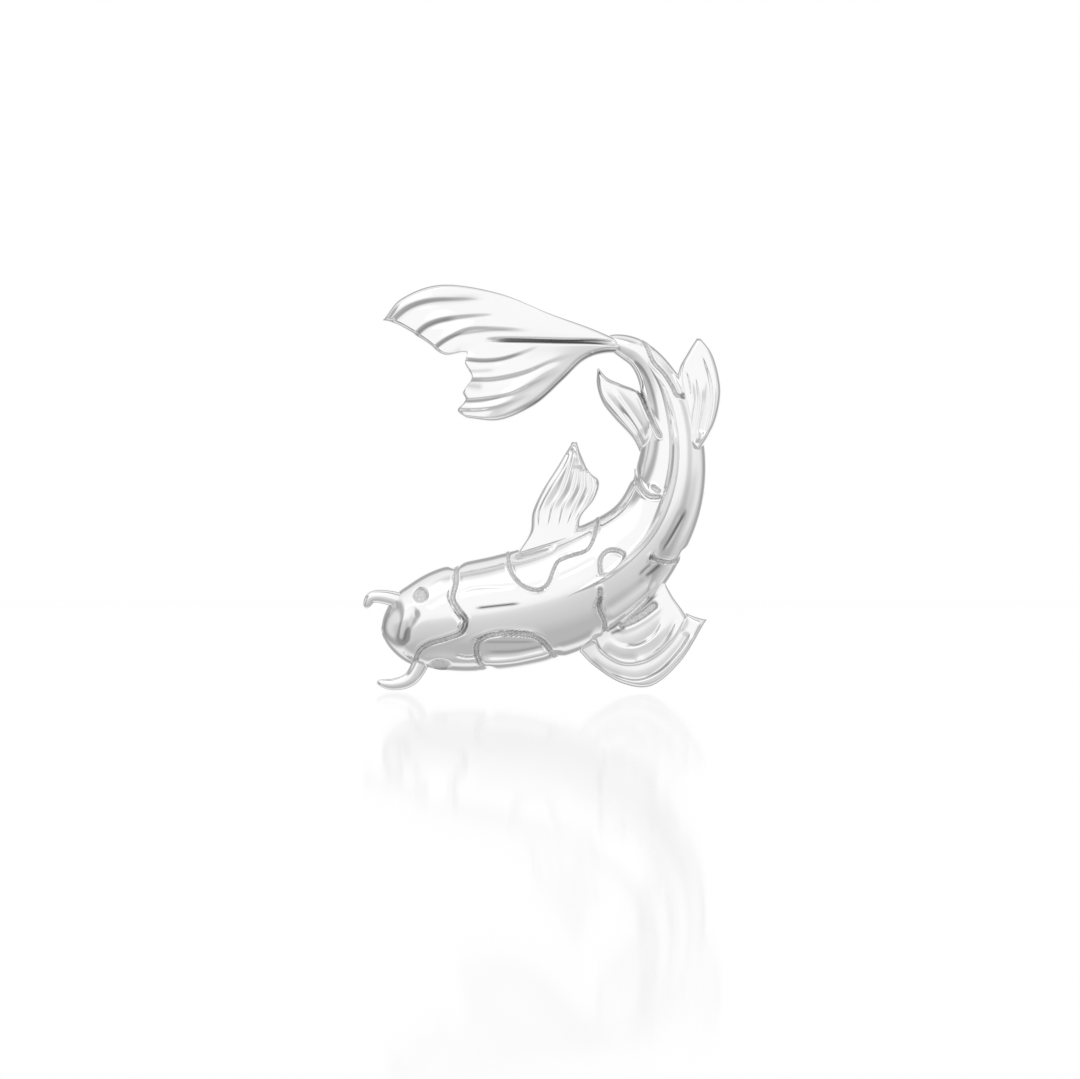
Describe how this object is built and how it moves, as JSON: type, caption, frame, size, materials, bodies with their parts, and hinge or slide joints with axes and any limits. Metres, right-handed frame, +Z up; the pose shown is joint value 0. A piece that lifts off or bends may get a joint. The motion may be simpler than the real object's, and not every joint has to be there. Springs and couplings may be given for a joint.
{
  "type": "fish brooch",
  "caption": "Curled koi cast in polished silver, with a fan tail, layered fins and whiskers, and on its back a hinged pin stem closing into a roller catch.",
  "frame": {"origin": "middle of the pin line, from the hinge to the catch, on the flat back plane of the fish", "axes": "+Z up as worn, +Y out of the back towards the garment, so the fish faces -Y with its head at -X"},
  "size_m": [0.0332, 0.0099, 0.0378],
  "materials": {
    "cast_silver": "polished cast silver",
    "drawn_silver": "satin silver findings",
    "pin_steel": "drawn steel wire"
  },
  "bodies": {
    "brooch": {"head": "cast_silver", "torso": "cast_silver", "tail_fan": "cast_silver", "dorsal_fin": "cast_silver", "inner_pectoral_fin": "cast_silver", "outer_pectoral_fin_lower": "cast_silver", "outer_pectoral_fin_upper": "cast_silver", "inner_pelvic_fin": "cast_silver", "outer_pelvic_fin": "cast_silver", "upper_barbel": "cast_silver", "lower_barbel": "cast_silver", "hinge_plate": "drawn_silver", "hinge_bracket": "drawn_silver", "hinge_rivet": "pin_steel", "catch_plate": "drawn_silver", "catch_base": "drawn_silver"},
    "stem": {"pin_stem": "pin_steel"},
    "roller": {"catch_roller": "drawn_silver"}
  },
  "joints": [
    {"name": "stem_hinge", "type": "hinge", "parent": "brooch", "child": "stem", "pos_m": [-0.01104, 0.0032, -0.00587], "axis": [-0.4695, 0, 0.8829], "range_deg": [0, 80]},
    {"name": "roller_turn", "type": "hinge", "parent": "brooch", "child": "roller", "pos_m": [0.01104, 0.0032, 0.00587], "axis": [0.8829, 0, 0.4695], "range_deg": [0, 110]}
  ]
}
